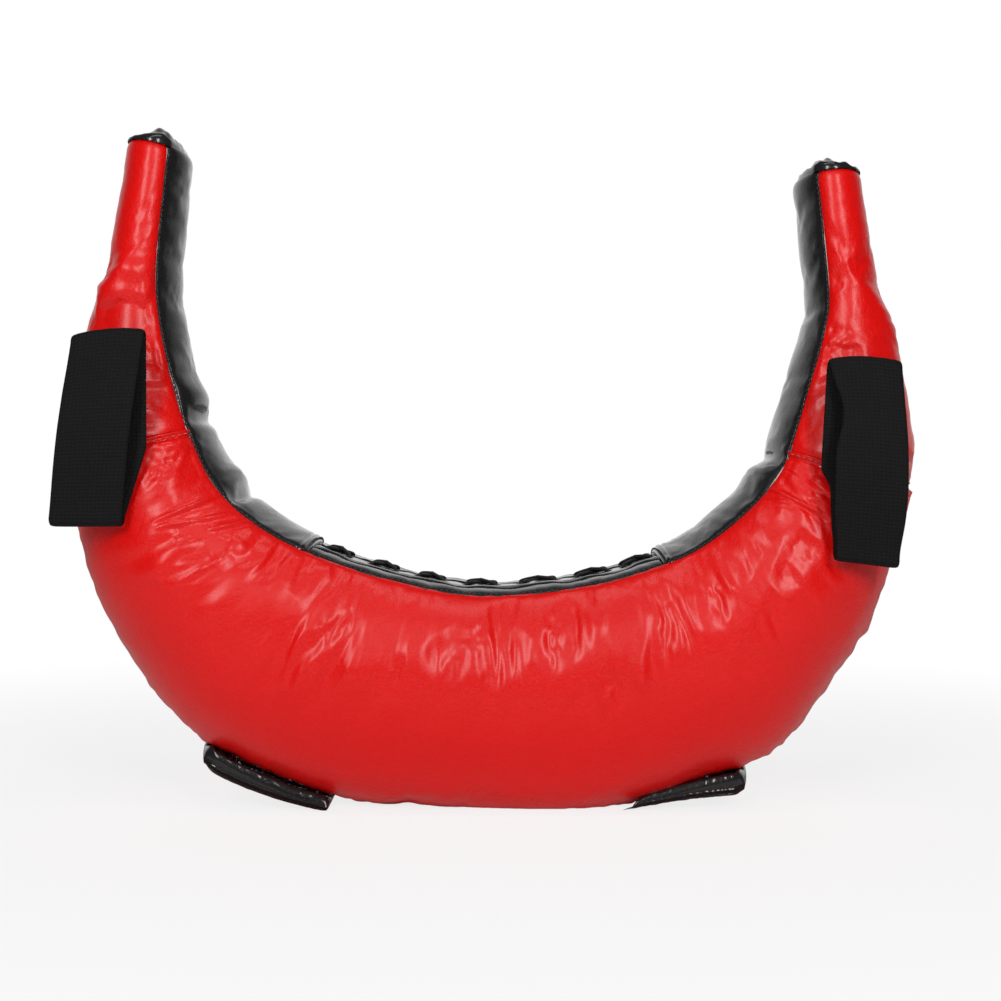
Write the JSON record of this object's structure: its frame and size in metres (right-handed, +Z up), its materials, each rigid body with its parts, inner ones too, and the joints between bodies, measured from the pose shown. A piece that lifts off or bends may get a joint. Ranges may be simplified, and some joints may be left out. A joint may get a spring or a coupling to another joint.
{
  "type": "bulgarian bag",
  "caption": "Crescent-shaped weighted training bag of glossy red and black coated leather, laced along its inner edge, with webbing hand loops at the shoulders and padded grips underneath.",
  "frame": {"origin": "on the floor, in the middle of the bag's width and depth with the hand loops counted", "axes": "+Z up towards the horns, +X to the right seen from the front, -Y towards the front where the hand loops are"},
  "size_m": [0.5229, 0.1411, 0.4141],
  "materials": {
    "red_leather": "glossy coated",
    "black_leather": "glossy coated",
    "webbing": "ribbed elastic weave",
    "lace_cord": "round braid",
    "tongue_fabric": "matte",
    "padding_felt": "soft felt",
    "liner_fabric": "woven",
    "sand": "loose grains",
    "stuffing": "packed fibre",
    "foam": "open cell"
  },
  "bodies": {
    "bag": {"front_belly_panel": "red_leather", "back_belly_panel": "red_leather", "front_left_horn_panel": "red_leather", "front_right_horn_panel": "red_leather", "back_left_horn_panel": "red_leather", "back_right_horn_panel": "red_leather", "inner_gusset_left": "black_leather", "inner_gusset_right": "black_leather", "lace_placket_front": "black_leather", "lace_placket_back": "black_leather", "lace": "lace_cord", "lace_tongue": "tongue_fabric", "left_end_cap": "black_leather", "right_end_cap": "black_leather", "padding_front": "padding_felt", "padding_back": "padding_felt", "liner_bag": "liner_fabric", "liner_closure_strip": "liner_fabric", "sand_fill": "sand", "left_horn_stuffing": "stuffing", "right_horn_stuffing": "stuffing", "left_strap_tab": "webbing", "right_strap_tab": "webbing"},
    "left_loop": {"left_strap_back": "webbing"},
    "left_loop_front": {"left_strap_front": "webbing"},
    "right_loop": {"right_strap_back": "webbing"},
    "right_loop_front": {"right_strap_front": "webbing"},
    "left_grip": {"left_grip_cover": "black_leather", "left_grip_core": "foam"},
    "right_grip": {"right_grip_cover": "black_leather", "right_grip_core": "foam"}
  },
  "joints": [
    {"name": "left_loop_fold", "type": "hinge", "parent": "bag", "child": "left_loop", "pos_m": [-0.22771, -0.0485, 0.21768], "axis": [-0.9672, 0, -0.254], "range_deg": [0, 12]},
    {"name": "left_loop_stretch", "type": "slide", "parent": "left_loop", "child": "left_loop_front", "axis": [0, -1, 0], "range_m": [0, 0.025], "stiffness_N_per_m": 300},
    {"name": "right_loop_fold", "type": "hinge", "parent": "bag", "child": "right_loop", "pos_m": [0.21544, -0.0485, 0.2057], "axis": [-0.957, 0, 0.29], "range_deg": [0, 12]},
    {"name": "right_loop_stretch", "type": "slide", "parent": "right_loop", "child": "right_loop_front", "axis": [0, -1, 0], "range_m": [0, 0.025], "stiffness_N_per_m": 300},
    {"name": "left_grip_fold", "type": "hinge", "parent": "bag", "child": "left_grip", "pos_m": [-0.13889, 0.0085, 0.01817], "axis": [0.92, 0, -0.3919], "range_deg": [0, 90]},
    {"name": "right_grip_fold", "type": "hinge", "parent": "bag", "child": "right_grip", "pos_m": [0.13209, 0.0085, 0.01353], "axis": [0.9513, 0, 0.3082], "range_deg": [0, 90]}
  ]
}
